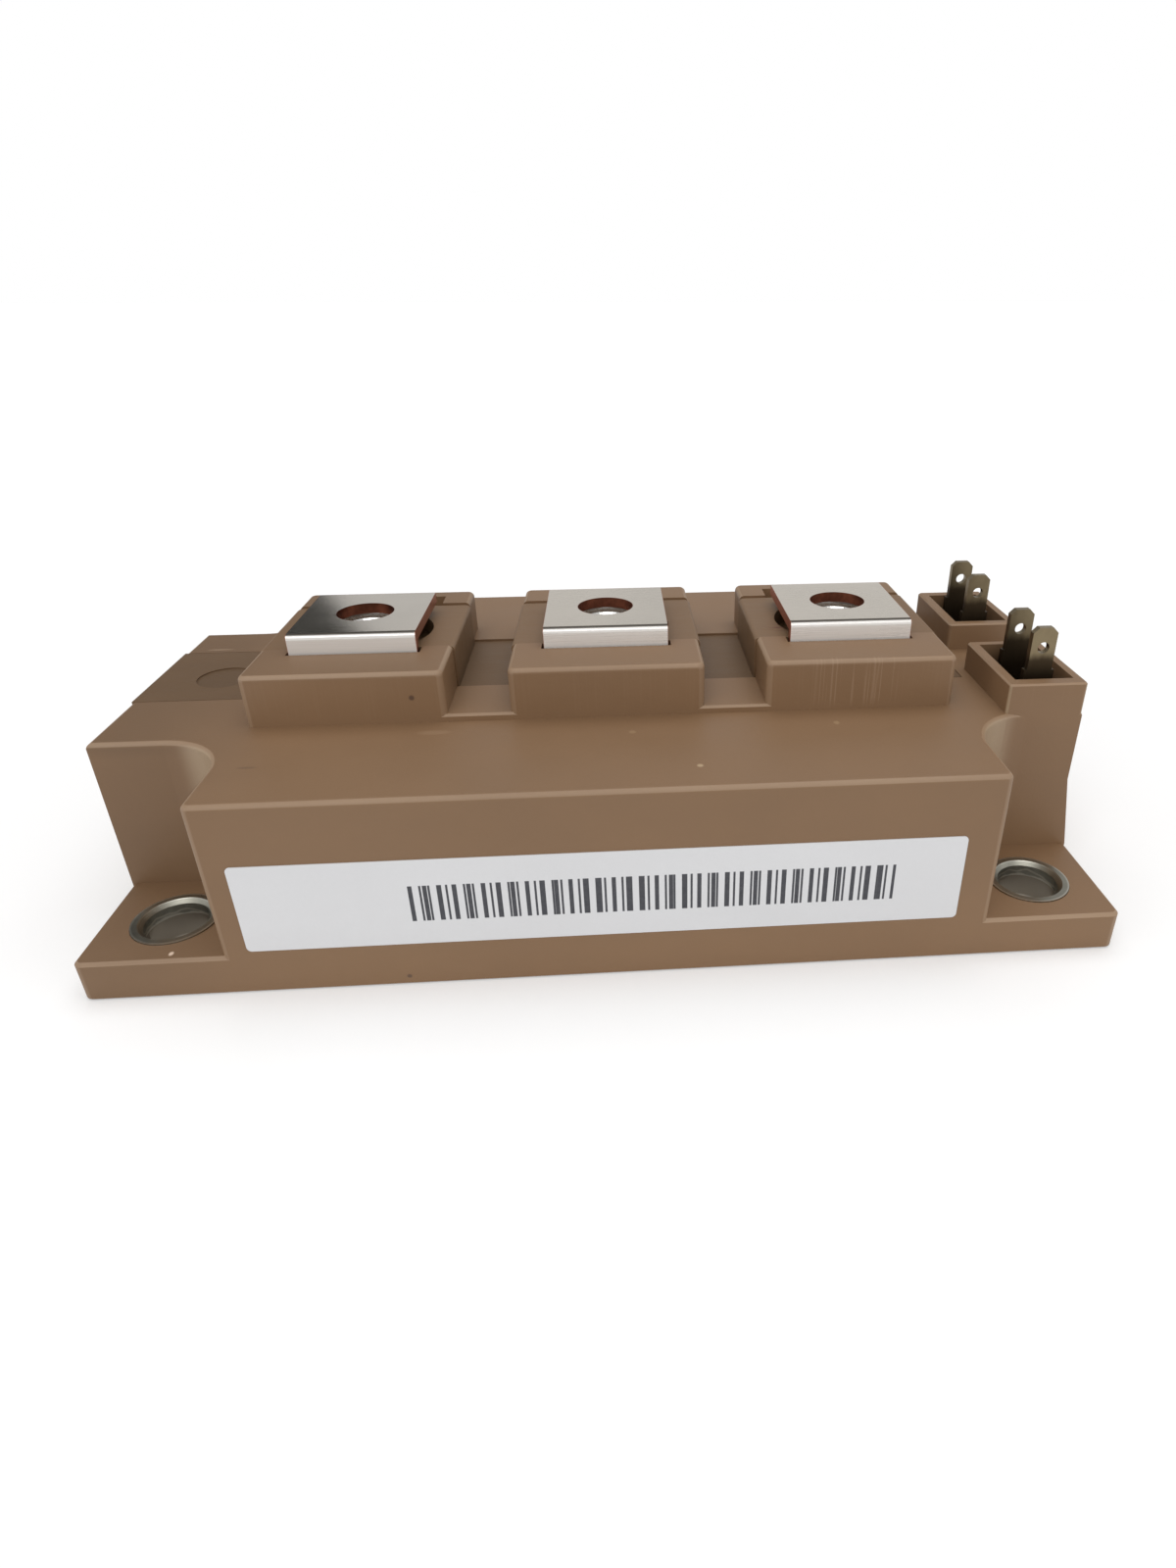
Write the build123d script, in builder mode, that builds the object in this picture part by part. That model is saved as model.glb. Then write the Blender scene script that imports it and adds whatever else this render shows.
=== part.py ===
import math
import os

from build123d import *

# Frame: X along the length, Y from the label side to the rear, Z up from the heat sink face.
# The origin is the centre of the base plate's underside. All sizes are in millimetres.

# Overall
length = 108.0
width = 62.0
terminal_top_z = 30.0

# Base plate and mounting holes
base_t = 3.0
base_corner_r = 2.0
hole_inset_x = 7.5
hole_inset_y = 7.0
hole_r = 3.25
skirt_t = 1.4
skirt_lift = 0.2
fit_gap = 0.1

# Case
flange_z = 4.6
flange_corner_r = 1.0
flange_edge = 0.35
notch_length = 14.65
notch_width = 14.1
notch_rounding = 0.48
wall_t = 2.5
deck_t = 2.8
deck_edge_r = 0.6
corner_extra = 0.2
end_lean = 1.4
end_upright = 8.6

# Terminal blocks
row_margin = 12.0
block_gap = 6.8
block_front_y = -14.1
block_back_y = 14.8
block_rise = 5.8
block_edge_r = 0.6
saddle_rise = 0.8
saddle_edge = 0.25
rear_slot_width = 14.4
rear_slot_y = 2.9
rear_slot_depth = 3.2

# Lid strip
lid_t = 1.4
lid_front_y = -6.1
lid_back_y = 9.6
lid_end_inset = 11.4
ledge = 1.0
lid_block_extra = 0.2
lid_block_drop = 0.15
lid_saddle_drop = 0.25
lid_corner_r = 0.8
lid_edge_r = 0.5
tower_side = 8.6
tower_depth = 8.0
ejector_inset = 8.0
ejector_y = 0.8
ejector_r = 3.2
ejector_depth = 0.12

# Nuts
nut_across_flats = 10.0
nut_height = 5.0
nut_top_below_terminal = 1.8
nut_thread_r = 2.5
nut_chamfer = 0.5
nut_gap = 0.1
pocket_r = 7.5
pocket_half_y = 5.4
pocket_depth = 2.0
screw_relief_r = 3.5
screw_relief_depth = 6.0

# Power terminals
strap_t = 1.2
strap_width = 14.0
strap_front_y = -7.7
strap_back_y = 7.0
strap_above_block = 2.2
strap_edge_r = 0.6
strap_foot_r = 1.4
terminal_hole_r = 3.25
slot_gap = 0.3
foot_width = 4.4
foot_length = 5.3

# Control sockets and tabs
socket_length = 8.85
socket_inner_y = 3.2
socket_rise = 3.4
socket_wall = 1.1
socket_front_wall = 1.5
socket_floor_drop = 3.0
socket_floor_t = 1.5
socket_edge = 0.2
tab_clear = 1.0
inner_tab_share = 0.297
tab_width = 2.8
tab_t = 0.8
tab_above_terminal = 0.7
tab_tip = 0.6
tab_hole_r = 0.65
tab_hole_below_tip = 2.3
tab_shoulder = 0.3
tab_neck = 4.9
tab_root = 4.0

# Mounting collars
collar_wall = 1.15
collar_stand = 0.15
collar_mouth = 0.45

# Label
label_inset_left = 2.65
label_inset_right = 3.75
label_z1 = 5.3
label_z2 = 15.3
label_t = 0.1
label_corner_r = 1.0

# Ceramic tiles with their copper
tile_gap = 3.0
tile_end_gap = 1.35
tile_side_gap = 6.5
backing_t = 0.3
ceramic_t = 0.65
copper_t = 0.3
copper_margin = 1.0
copper_gap = 0.8
signal_strip = 1.0

# Chips and bonds
chip_t = 0.3
transistor_share = 0.45
diode_share = 0.33
diode_inset = 1.5
chip_clear = 2.7
chip_gap = 0.9
chip_margin = 0.5
row_gap = 1.3
ribbon_space = 0.7
ribbon_t = 0.3
ribbon_margin = 0.2
ribbon_foot = 1.0
ribbon_rise = 1.8
ribbon_lean = 1.6
bond_side = 0.4
bond_rise = 1.0
bond_lean = 0.5
bond_foot = 0.3
bond_pitch = 2.0

# Copper link between the tiles
link_t = 0.8
link_width = 4.4
link_rise = 3.6
link_foot = 3.0
link_margin = 0.6

# Flat leads and potting
lead_width = 1.2
lead_t = 0.4
lead_margin = 1.8
gel_fill = 0.73

# Levels and places worked out from the sizes above
block_z = terminal_top_z - strap_above_block
deck_z = block_z - block_rise
saddle_z = deck_z + saddle_rise
socket_floor_z = deck_z - socket_floor_drop
socket_z = deck_z + socket_rise
tower_bottom_z = deck_z - tower_depth
gel_z = base_t + gel_fill * (tower_bottom_z - base_t)
end_waist_z = deck_z - end_upright
tab_top_z = terminal_top_z + tab_above_terminal
tab_shoulder_z = tab_top_z - tab_neck
tab_bottom_z = socket_floor_z - tab_root
roof_z = deck_z - deck_t
ledge_z = deck_z - lid_t
lid_block_z = block_z - lid_block_drop
lid_saddle_z = saddle_z - lid_saddle_drop
ceramic_z = base_t + backing_t
copper_z = ceramic_z + ceramic_t
copper_top = copper_z + copper_t
chip_top = copper_top + chip_t
nut_top_z = terminal_top_z - nut_top_below_terminal
nut_z = nut_top_z - nut_height
nut_corner_r = nut_across_flats / 2 / math.cos(math.pi / 6)
collar_top = flange_z + collar_stand
lead_run_z = (gel_z + tower_bottom_z) / 2
body_corner_r = deck_edge_r + corner_extra
block_corner_r = block_edge_r + corner_extra
socket_corner_r = socket_edge + corner_extra
hole_pitch_x = length - 2 * hole_inset_x
hole_pitch_y = width - 2 * hole_inset_y
body_length = length - 2 * notch_length
tongue_width = width - 2 * notch_width
notch_r = notch_rounding * notch_length
end_waist_x = length / 2 - end_lean
terminal_pitch = (length - 2 * row_margin) / 3
block_width = terminal_pitch - block_gap
lid_end_x = length / 2 - lid_end_inset
ejector_x = ejector_inset - length / 2
socket_x = end_waist_x - socket_length
block_xs = [-terminal_pitch, 0.0, terminal_pitch]
sides = ["left", "middle", "right"]
ridge_half_x = terminal_pitch + block_width / 2
block_mid_y = (block_front_y + block_back_y) / 2
block_depth = block_back_y - block_front_y
lid_mid_y = (lid_front_y + lid_back_y) / 2
lid_depth = lid_back_y - lid_front_y
tongue_y = tongue_width / 2
socket_hollow_y1 = socket_inner_y + socket_wall
socket_hollow_y2 = tongue_y - socket_front_wall
tab_x = (socket_x + end_waist_x) / 2
outer_tab_y = tongue_y - wall_t - tab_clear
inner_tab_y = socket_hollow_y1 + inner_tab_share * (outer_tab_y - socket_hollow_y1)
tab_y = (inner_tab_y, outer_tab_y)
label_x1 = label_inset_left - body_length / 2
label_x2 = body_length / 2 - label_inset_right
tile_length = body_length / 2 - wall_t - tile_end_gap - tile_gap / 2
tile_width = width - 2 * (wall_t + tile_side_gap)
tile_x = (tile_gap + tile_length) / 2
copper_half_x = tile_length / 2 - copper_margin
copper_half_y = tile_width / 2 - copper_margin
chip_room = 2 * (copper_half_x - signal_strip - chip_margin) - 3 * copper_gap - chip_gap
transistor_length = transistor_share * chip_room
diode_length = diode_share * chip_room
emitter_strip = chip_room - transistor_length - diode_length
row_depth = (copper_half_y - chip_margin - row_gap - strap_front_y - strap_t - chip_clear) / 2
diode_depth = row_depth - 2 * diode_inset
ribbon_pitch = (diode_depth - 2 * ribbon_margin) / 3
ribbon_width = ribbon_pitch - ribbon_space
gate_u = copper_half_x - signal_strip / 2
sense_u = gate_u - signal_strip - copper_gap
collector_u2 = sense_u - signal_strip / 2 - copper_gap
emitter_u = -copper_half_x + emitter_strip / 2
collector_u1 = -copper_half_x + emitter_strip + copper_gap
transistor_u = collector_u2 - chip_margin - transistor_length / 2
diode_u = transistor_u - (transistor_length + diode_length) / 2 - chip_gap
row_ys = [copper_half_y - chip_margin - row_depth * (0.5 + i) - row_gap * i for i in (1, 0)]
collector_foot_x = tile_x + collector_u2 - chip_margin - foot_width / 2
foot_xs = {"left": -collector_foot_x, "middle": -(strap_width - foot_width) / 2, "right": collector_foot_x}
collar_r = hole_r + collar_wall
hole_places = GridLocations(hole_pitch_x, hole_pitch_y, 2, 2).locations

os.makedirs("parts", exist_ok=True)


def save(piece, name):
    """Labels a finished piece and writes it to its own file."""
    piece.label = name
    export_step(piece, f"parts/{name}.step")


def plan_outline(corner_r):
    """The body's plan: a wide middle with a tongue at each end and a rounded notch at each corner."""
    with BuildSketch() as plan:
        Rectangle(body_length, width)
        fillet(plan.vertices(), corner_r)
        Rectangle(length, tongue_width)
        inner = plan.vertices().filter_by(
            lambda v: abs(abs(v.X) - body_length / 2) < fit_gap and abs(abs(v.Y) - tongue_y) < fit_gap
        )
        fillet(inner, notch_r)
    return plan.sketch


def cavity_outline():
    """The room inside the case, one wall thickness in from the plan."""
    with BuildSketch() as room:
        add(plan_outline(body_corner_r))
        offset(amount=-wall_t, kind=Kind.INTERSECTION)
    return room.sketch


def socket_outline(side):
    """The plan of one socket, outside its walls: side is -1 at the front and 1 at the rear."""
    with BuildSketch() as outline:
        with Locations(((socket_x + end_waist_x) / 2, side * (socket_inner_y + tongue_y) / 2)):
            Rectangle(end_waist_x - socket_x, tongue_y - socket_inner_y)
    return outline.sketch


# Base plate: flat plate let into the underside, with four through holes
with BuildPart() as base_plate:
    with BuildSketch() as base_plan:
        Rectangle(length - 2 * (skirt_t + fit_gap), width - 2 * (skirt_t + fit_gap))
        fillet(base_plan.vertices(), base_corner_r)
    extrude(amount=base_t)
    with Locations(*[Location((p.position.X, p.position.Y, base_t)) for p in hole_places]):
        Hole(hole_r)
save(base_plate.part, "base_plate")

# Moulding: flange and notched body, ridge of three blocks, two sockets, then every hollow and opening
with BuildPart() as moulding:
    with BuildSketch(Plane.XY.offset(skirt_lift)) as flange_plan:
        Rectangle(length, width)
        fillet(flange_plan.vertices(), flange_corner_r)
    extrude(amount=flange_z - skirt_lift)
    chamfer(moulding.faces().sort_by(Axis.Z)[-1].edges(), flange_edge)
    with BuildSketch(Plane.XY.offset(skirt_lift)):
        add(plan_outline(body_corner_r))
    extrude(amount=deck_z - skirt_lift)

    # The right end leans in from the flange up to its waist and stands upright above it
    with BuildSketch(Plane.XZ):
        with BuildLine():
            Polyline(
                (length / 2, flange_z),
                (end_waist_x, end_waist_z),
                (end_waist_x, deck_z),
                (length / 2 + wall_t, deck_z),
                (length / 2 + wall_t, flange_z),
                close=True,
            )
        make_face()
    extrude(amount=tongue_y + fit_gap, both=True, mode=Mode.SUBTRACT)
    fillet(moulding.faces().sort_by(Axis.Z)[-1].edges(), deck_edge_r)

    # Ridge: a low saddle that joins three tall blocks
    with BuildSketch(Plane.XY.offset(deck_z)) as saddle_plan:
        with Locations((0, block_mid_y)):
            Rectangle(2 * ridge_half_x, block_depth)
        fillet(saddle_plan.vertices(), block_corner_r)
    extrude(amount=saddle_rise)
    saddle_top = moulding.faces().filter_by(lambda f: abs(f.center().Z - saddle_z) < 1e-6)
    chamfer(saddle_top.edges().filter_by(Axis.X), saddle_edge)
    with BuildSketch(Plane.XY.offset(deck_z)) as block_plans:
        with Locations(*[(x, block_mid_y) for x in block_xs]):
            Rectangle(block_width, block_depth)
        fillet(block_plans.vertices(), block_corner_r)
    extrude(amount=block_z - deck_z)
    fillet(moulding.faces().filter_by(lambda f: abs(f.center().Z - block_z) < 1e-6).edges(), block_edge_r)

    # Sockets: two open boxes whose outer walls stand flush with the tongue
    with BuildSketch(Plane.XY.offset(socket_floor_z - socket_floor_t)) as socket_plans:
        add([socket_outline(side) for side in (-1, 1)])
        fillet(socket_plans.vertices(), socket_corner_r)
    extrude(amount=socket_z - socket_floor_z + socket_floor_t)
    chamfer(moulding.faces().filter_by(lambda f: abs(f.center().Z - socket_z) < 1e-6).edges(), socket_edge)

    # Recess for the base plate, then the room above it
    with BuildSketch(Plane.XY) as recess_plan:
        Rectangle(length - 2 * skirt_t, width - 2 * skirt_t)
        fillet(recess_plan.vertices(), base_corner_r + fit_gap)
    extrude(amount=base_t, mode=Mode.SUBTRACT)
    with BuildSketch(Plane.XY.offset(base_t)):
        add(cavity_outline())
    extrude(amount=socket_floor_z - socket_floor_t - base_t, mode=Mode.SUBTRACT)
    with BuildSketch(Plane.XY.offset(socket_floor_z - socket_floor_t)):
        add(cavity_outline())
        with Locations(((socket_x + length / 2) / 2, 0)):
            Rectangle(length / 2 - socket_x, tongue_width, mode=Mode.SUBTRACT)
    extrude(amount=roof_z - socket_floor_z + socket_floor_t, mode=Mode.SUBTRACT)

    # Opening for the lid: wide above the ledge, narrower below it
    with BuildSketch(Plane.XY.offset(ledge_z)):
        with Locations(((lid_end_x - length / 2) / 2, lid_mid_y)):
            Rectangle(lid_end_x + length / 2, lid_depth)
    extrude(amount=block_z - ledge_z + fit_gap, mode=Mode.SUBTRACT)
    with BuildSketch(Plane.XY.offset(roof_z)):
        with Locations(((lid_end_x - ledge - length / 2 + wall_t) / 2, lid_mid_y)):
            Rectangle(lid_end_x - ledge + length / 2 - wall_t, lid_depth - 2 * ledge)
    extrude(amount=ledge_z - roof_z, mode=Mode.SUBTRACT)

    # Slots that the power terminals come up through, and the blind slots behind the lid
    with BuildSketch(Plane.XY.offset(roof_z)):
        slot_y = strap_front_y - slot_gap
        with Locations(*[(x, (slot_y + lid_front_y) / 2) for x in block_xs]):
            Rectangle(strap_width + 2 * slot_gap, lid_front_y - slot_y)
    extrude(amount=block_z - roof_z + fit_gap, mode=Mode.SUBTRACT)
    with BuildSketch(Plane.XY.offset(block_z - rear_slot_depth)):
        with Locations(*[(x, lid_back_y + rear_slot_y / 2) for x in block_xs]):
            Rectangle(rear_slot_width, rear_slot_y)
    extrude(amount=rear_slot_depth + fit_gap, mode=Mode.SUBTRACT)

    # Inside of the sockets, with a slit in the floor for each tab
    with BuildSketch(Plane.XY.offset(socket_floor_z)):
        for side in (-1, 1):
            with Locations(((socket_x + end_waist_x) / 2, side * (socket_hollow_y1 + socket_hollow_y2) / 2)):
                Rectangle(end_waist_x - socket_x - 2 * socket_wall, socket_hollow_y2 - socket_hollow_y1)
    extrude(amount=socket_z - socket_floor_z + fit_gap, mode=Mode.SUBTRACT)
    with BuildSketch(Plane.XY.offset(socket_floor_z - socket_floor_t)):
        with Locations(*[(tab_x, side * y) for side in (-1, 1) for y in tab_y]):
            Rectangle(tab_width + 2 * tab_shoulder + 2 * fit_gap, tab_t + 2 * fit_gap)
    extrude(amount=socket_floor_t, mode=Mode.SUBTRACT)

    # Seats of the four mounting collars
    with Locations(*[Location((p.position.X, p.position.Y, flange_z)) for p in hole_places]):
        Hole(collar_r + fit_gap / 2, depth=flange_z - base_t)

# Sockets and case: the one moulding, cut on the sockets' inner sides so that each socket is its own node
sockets = []
for name, side, kept in (("front", -1, Keep.TOP), ("rear", 1, Keep.BOTTOM)):
    with BuildPart() as socket:
        add(moulding.part)
        split(bisect_by=Plane.YZ.offset(socket_x), keep=Keep.TOP)
        split(bisect_by=Plane.XY.offset(socket_floor_z - socket_floor_t), keep=Keep.TOP)
        split(bisect_by=Plane.XZ.offset(-side * socket_inner_y), keep=kept)
    sockets.append(socket.part)
    save(socket.part, f"control_socket_{name}")
with BuildPart() as case:
    add(moulding.part)
    for piece in sockets:
        add(piece, mode=Mode.SUBTRACT)
save(case.part, "case")

# Lid: a thin strip on the ledge, raised between the blocks and carrying the middle of each block
with BuildPart() as lid:
    with BuildSketch(Plane.XY.offset(ledge_z)):
        with Locations(((lid_end_x - fit_gap - length / 2) / 2, lid_mid_y)):
            Rectangle(lid_end_x - fit_gap + length / 2, lid_depth - 2 * fit_gap)
    extrude(amount=lid_t)
    with BuildSketch(Plane.XY.offset(deck_z)):
        with Locations((0, lid_mid_y)):
            Rectangle(2 * ridge_half_x, lid_depth - 2 * fit_gap)
    extrude(amount=lid_saddle_z - deck_z)
    with BuildSketch(Plane.XY.offset(deck_z)) as lid_blocks:
        with Locations(*[(x, lid_mid_y) for x in block_xs]):
            Rectangle(block_width + 2 * lid_block_extra, lid_depth - 2 * fit_gap)
        fillet(lid_blocks.vertices().group_by(Axis.Y)[-1], lid_corner_r)
    extrude(amount=lid_block_z - deck_z)
    tops = lid.faces().filter_by(lambda f: abs(f.center().Z - lid_block_z) < 1e-6)
    fillet(tops.edges().filter_by(Axis.Y), lid_edge_r)

    # Towers below the strip take the nuts and the screw ends
    with BuildSketch(Plane.XY.offset(tower_bottom_z)):
        with Locations(*[(x, lid_mid_y) for x in block_xs]):
            Rectangle(2 * tower_side, lid_depth - 2 * ledge - 2 * fit_gap)
    extrude(amount=ledge_z - tower_bottom_z)

    # Each pocket: round mouth with flats front and rear, hexagon seat, smaller hexagon for the screw's end
    for x in block_xs:
        with BuildSketch(Plane.XY.offset(lid_block_z - pocket_depth)):
            with Locations((x, 0)):
                Circle(pocket_r)
                Rectangle(2 * pocket_r, 2 * pocket_half_y, mode=Mode.INTERSECT)
        extrude(amount=pocket_depth + fit_gap, mode=Mode.SUBTRACT)
    with BuildSketch(Plane.XY.offset(nut_z)):
        with Locations(*[(x, 0) for x in block_xs]):
            RegularPolygon(nut_across_flats / 2 + nut_gap, 6, major_radius=False)
    extrude(amount=lid_block_z - nut_z, mode=Mode.SUBTRACT)
    with BuildSketch(Plane.XY.offset(nut_z - screw_relief_depth)):
        with Locations(*[(x, 0) for x in block_xs]):
            RegularPolygon(screw_relief_r, 6, major_radius=False)
    extrude(amount=screw_relief_depth, mode=Mode.SUBTRACT)

    # Shallow ring left by the mould's ejector on the open end of the strip
    with BuildSketch(Plane.XY.offset(deck_z - ejector_depth)):
        with Locations((ejector_x, ejector_y)):
            Circle(ejector_r)
    extrude(amount=ejector_depth, mode=Mode.SUBTRACT)
save(lid.part, "lid")

# Hexagon nuts, corners along X, with the corners and the thread's mouth chamfered on the upper side
for side, x in zip(sides, block_xs):
    with BuildPart() as nut:
        with BuildSketch(Plane.XY.offset(nut_z)):
            with Locations((x, 0)):
                RegularPolygon(nut_across_flats / 2, 6, major_radius=False)
        extrude(amount=nut_height)
        with BuildSketch(Plane.XZ):
            with BuildLine():
                Polyline(
                    (x, nut_z),
                    (x + nut_corner_r, nut_z),
                    (x + nut_corner_r, nut_top_z - nut_chamfer / 2),
                    (x + nut_corner_r - nut_chamfer, nut_top_z),
                    (x, nut_top_z),
                    close=True,
                )
            make_face()
        revolve(axis=Axis((x, 0, 0), (0, 0, 1)), mode=Mode.INTERSECT)
        with Locations((x, 0, nut_top_z)):
            Hole(nut_thread_r)
        mouths = nut.edges().filter_by(GeomType.CIRCLE).filter_by(
            lambda e: abs(e.radius - nut_thread_r) < 1e-6
        )
        chamfer(mouths.group_by(Axis.Z)[-1], nut_chamfer)
    save(nut.part, f"terminal_nut_{side}")

# Power terminals: one folded strap each, plate over the nut, leg down the slot, foot on the copper
strap_parts = []
for side, x in zip(sides, block_xs):
    with BuildPart() as strap:
        with BuildSketch(Plane.YZ.offset(x)):
            with BuildLine() as strap_line:
                leg_y = strap_front_y + strap_t / 2
                Polyline(
                    (strap_back_y, terminal_top_z - strap_t / 2),
                    (leg_y, terminal_top_z - strap_t / 2),
                    (leg_y, copper_top + strap_t / 2),
                    (leg_y - foot_length, copper_top + strap_t / 2),
                )
            trace(strap_line.line, strap_t)
        extrude(amount=strap_width / 2, both=True)
        bends = strap.edges().filter_by(Axis.X)
        fillet(bends.sort_by_distance((x, strap_front_y, terminal_top_z))[0], strap_edge_r)
        fillet(bends.sort_by_distance((x, strap_front_y + strap_t, copper_top))[0], strap_foot_r)
        with Locations((x, 0, terminal_top_z)):
            Hole(terminal_hole_r, depth=strap_t)
        foot_x = foot_xs[side]
        with BuildSketch(Plane.XZ):
            with Locations((x, gel_z / 2)):
                Rectangle(strap_width + fit_gap, gel_z)
            with Locations((foot_x, gel_z / 2)):
                Rectangle(foot_width, gel_z, mode=Mode.SUBTRACT)
        extrude(amount=width / 2, both=True, mode=Mode.SUBTRACT)
    strap_parts.append(strap.part)
    save(strap.part, f"power_terminal_{side}")

# Mounting collars: short bushes on the base plate with a flared mouth
for number, place in enumerate(hole_places, 1):
    with BuildPart() as collar:
        with BuildSketch(Plane.XZ.offset(-place.position.Y)):
            with BuildLine():
                Polyline(
                    (place.position.X + hole_r, base_t),
                    (place.position.X + collar_r, base_t),
                    (place.position.X + collar_r, collar_top),
                    (place.position.X + hole_r + collar_mouth, collar_top),
                    (place.position.X + hole_r, collar_top - collar_mouth),
                    close=True,
                )
            make_face()
        revolve(axis=Axis((place.position.X, place.position.Y, 0), (0, 0, 1)))
    save(collar.part, f"mounting_collar_{number}")

# Control tabs: flat blades with a pointed tip, a detent hole and shoulders where they leave the socket floor
tab_places = [(tab_x, side * y) for side in (-1, 1) for y in (tab_y[::-1] if side < 0 else tab_y)]
for number, (x, y) in enumerate(tab_places, 1):
    with BuildPart() as tab:
        with BuildSketch(Plane.XZ.offset(-y)) as blade:
            with Locations((x, (tab_bottom_z + tab_top_z) / 2)):
                Rectangle(tab_width, tab_top_z - tab_bottom_z)
            chamfer(blade.vertices().group_by(Axis.Z)[-1], tab_tip)
            with Locations((x, (tab_bottom_z + tab_shoulder_z) / 2)):
                Rectangle(tab_width + 2 * tab_shoulder, tab_shoulder_z - tab_bottom_z)
            with Locations((x, tab_top_z - tab_hole_below_tip)):
                Circle(tab_hole_r, mode=Mode.SUBTRACT)
        extrude(amount=tab_t / 2, both=True)
    save(tab.part, f"control_tab_{number}")

# Label: a thin sticker on the front face
with BuildPart() as label:
    with BuildSketch(Plane.XZ.offset(width / 2)) as sticker:
        with Locations(((label_x1 + label_x2) / 2, (label_z1 + label_z2) / 2)):
            Rectangle(label_x2 - label_x1, label_z2 - label_z1)
        fillet(sticker.vertices(), label_corner_r)
    extrude(amount=label_t)
save(label.part, "label")

# Tiles: ceramic with copper on both faces. "low" is the left tile, "high" its mirror image on the right.
tiles = {"low": -1, "high": 1}
inner_parts = list(strap_parts)

for name, side in tiles.items():
    tile_plane = Plane.XY.offset(ceramic_z)
    with BuildPart() as tile:
        with BuildSketch(tile_plane):
            with Locations((side * tile_x, 0)):
                Rectangle(tile_length, tile_width)
        extrude(amount=ceramic_t)
    save(tile.part, f"substrate_{name}")

    with BuildPart() as backing:
        with BuildSketch(Plane.XY.offset(base_t)):
            with Locations((side * tile_x, 0)):
                Rectangle(2 * copper_half_x, 2 * copper_half_y)
        extrude(amount=backing_t)
    save(backing.part, f"substrate_backing_{name}")

    with BuildPart() as areas:
        with BuildSketch(Plane.XY.offset(copper_z)):
            for centre, size in (
                (emitter_u, emitter_strip),
                ((collector_u1 + collector_u2) / 2, collector_u2 - collector_u1),
                (sense_u, signal_strip),
                (gate_u, signal_strip),
            ):
                with Locations((side * (tile_x + centre), 0)):
                    Rectangle(size, 2 * copper_half_y)
        extrude(amount=copper_t)
    save(areas.part, f"substrate_copper_{name}")
    inner_parts += [tile.part, backing.part, areas.part]

# Chips on the collector areas, two rows on each tile
spots = [(name, side, y) for name, side in tiles.items() for y in row_ys]
for number, (name, side, y) in enumerate(spots, 1):
    for kind, u, chip_length, chip_depth in (
        ("transistor", transistor_u, transistor_length, row_depth),
        ("diode", diode_u, diode_length, diode_depth),
    ):
        with BuildPart() as chip:
            with BuildSketch(Plane.XY.offset(copper_top)):
                with Locations((side * (tile_x + u), y)):
                    Rectangle(chip_length, chip_depth)
            extrude(amount=chip_t)
        save(chip.part, f"{kind}_chip_{number}")

# Ribbons: stitched from the transistor to the diode and on to the emitter strip, in two loops
low = chip_top + ribbon_t / 2
apex = low + ribbon_rise
ribbon_run = [(transistor_u + ribbon_foot, low)]
for start_u, end_u, end_z in ((transistor_u, diode_u, low), (diode_u, emitter_u, low - chip_t)):
    ribbon_run += [
        (start_u - ribbon_foot, low),
        (start_u - ribbon_foot - ribbon_lean, apex),
        (end_u + ribbon_foot + ribbon_lean, apex),
        (end_u + ribbon_foot, end_z),
    ]
ribbon_run.append((emitter_u - ribbon_foot, low - chip_t))
for number, (name, side, y) in enumerate(spots, 1):
    with BuildPart() as ribbons:
        for step in (-1, 0, 1):
            with BuildSketch(Plane.XZ.offset(-y - step * ribbon_pitch)):
                with BuildLine() as ribbon_line:
                    Polyline(*[(side * (tile_x + u), z) for u, z in ribbon_run])
                trace(ribbon_line.line, ribbon_t)
            extrude(amount=ribbon_width / 2, both=True)
    save(ribbons.part, f"bond_ribbons_{number}")

# Signal bonds: one to the sense strip and one to the gate strip from each transistor
for name, side in tiles.items():
    with BuildPart() as bonds:
        for y in row_ys:
            for step, strip_u in ((-1, sense_u), (1, gate_u)):
                low = chip_top + bond_side / 2
                start = transistor_u + transistor_length / 2 - chip_margin - bond_foot
                with BuildSketch(Plane.XZ.offset(-y - step * bond_pitch)):
                    with BuildLine() as bond_line:
                        points = [
                            (start - bond_foot, low),
                            (start + bond_foot, low),
                            (start + bond_foot + bond_lean, low + bond_rise),
                            (strip_u - bond_foot - bond_lean, low + bond_rise),
                            (strip_u - bond_foot, low - chip_t),
                            (strip_u + bond_foot, low - chip_t),
                        ]
                        Polyline(*[(side * (tile_x + u), z) for u, z in points])
                    trace(bond_line.line, bond_side)
                extrude(amount=bond_side / 2, both=True)
    save(bonds.part, f"signal_bonds_{name}")

# Copper link: from the right tile's emitter strip over to the left tile's collector area
with BuildPart() as link:
    low = copper_top + link_t / 2
    start_x = tile_x + emitter_u + emitter_strip / 2 - link_margin
    rise_x = start_x - link_foot
    fall_x = -tile_x - collector_u1 - link_margin - link_t
    with BuildSketch(Plane.XZ.offset(copper_half_y - link_margin - link_width / 2)):
        with BuildLine() as link_line:
            Polyline(
                (start_x, low),
                (rise_x, low),
                (rise_x, low + link_rise),
                (fall_x, low + link_rise),
                (fall_x, low),
                (fall_x - link_foot, low),
            )
        trace(link_line.line, link_t)
    extrude(amount=link_width / 2, both=True)
save(link.part, "bridge_link")
inner_parts.append(link.part)

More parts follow.
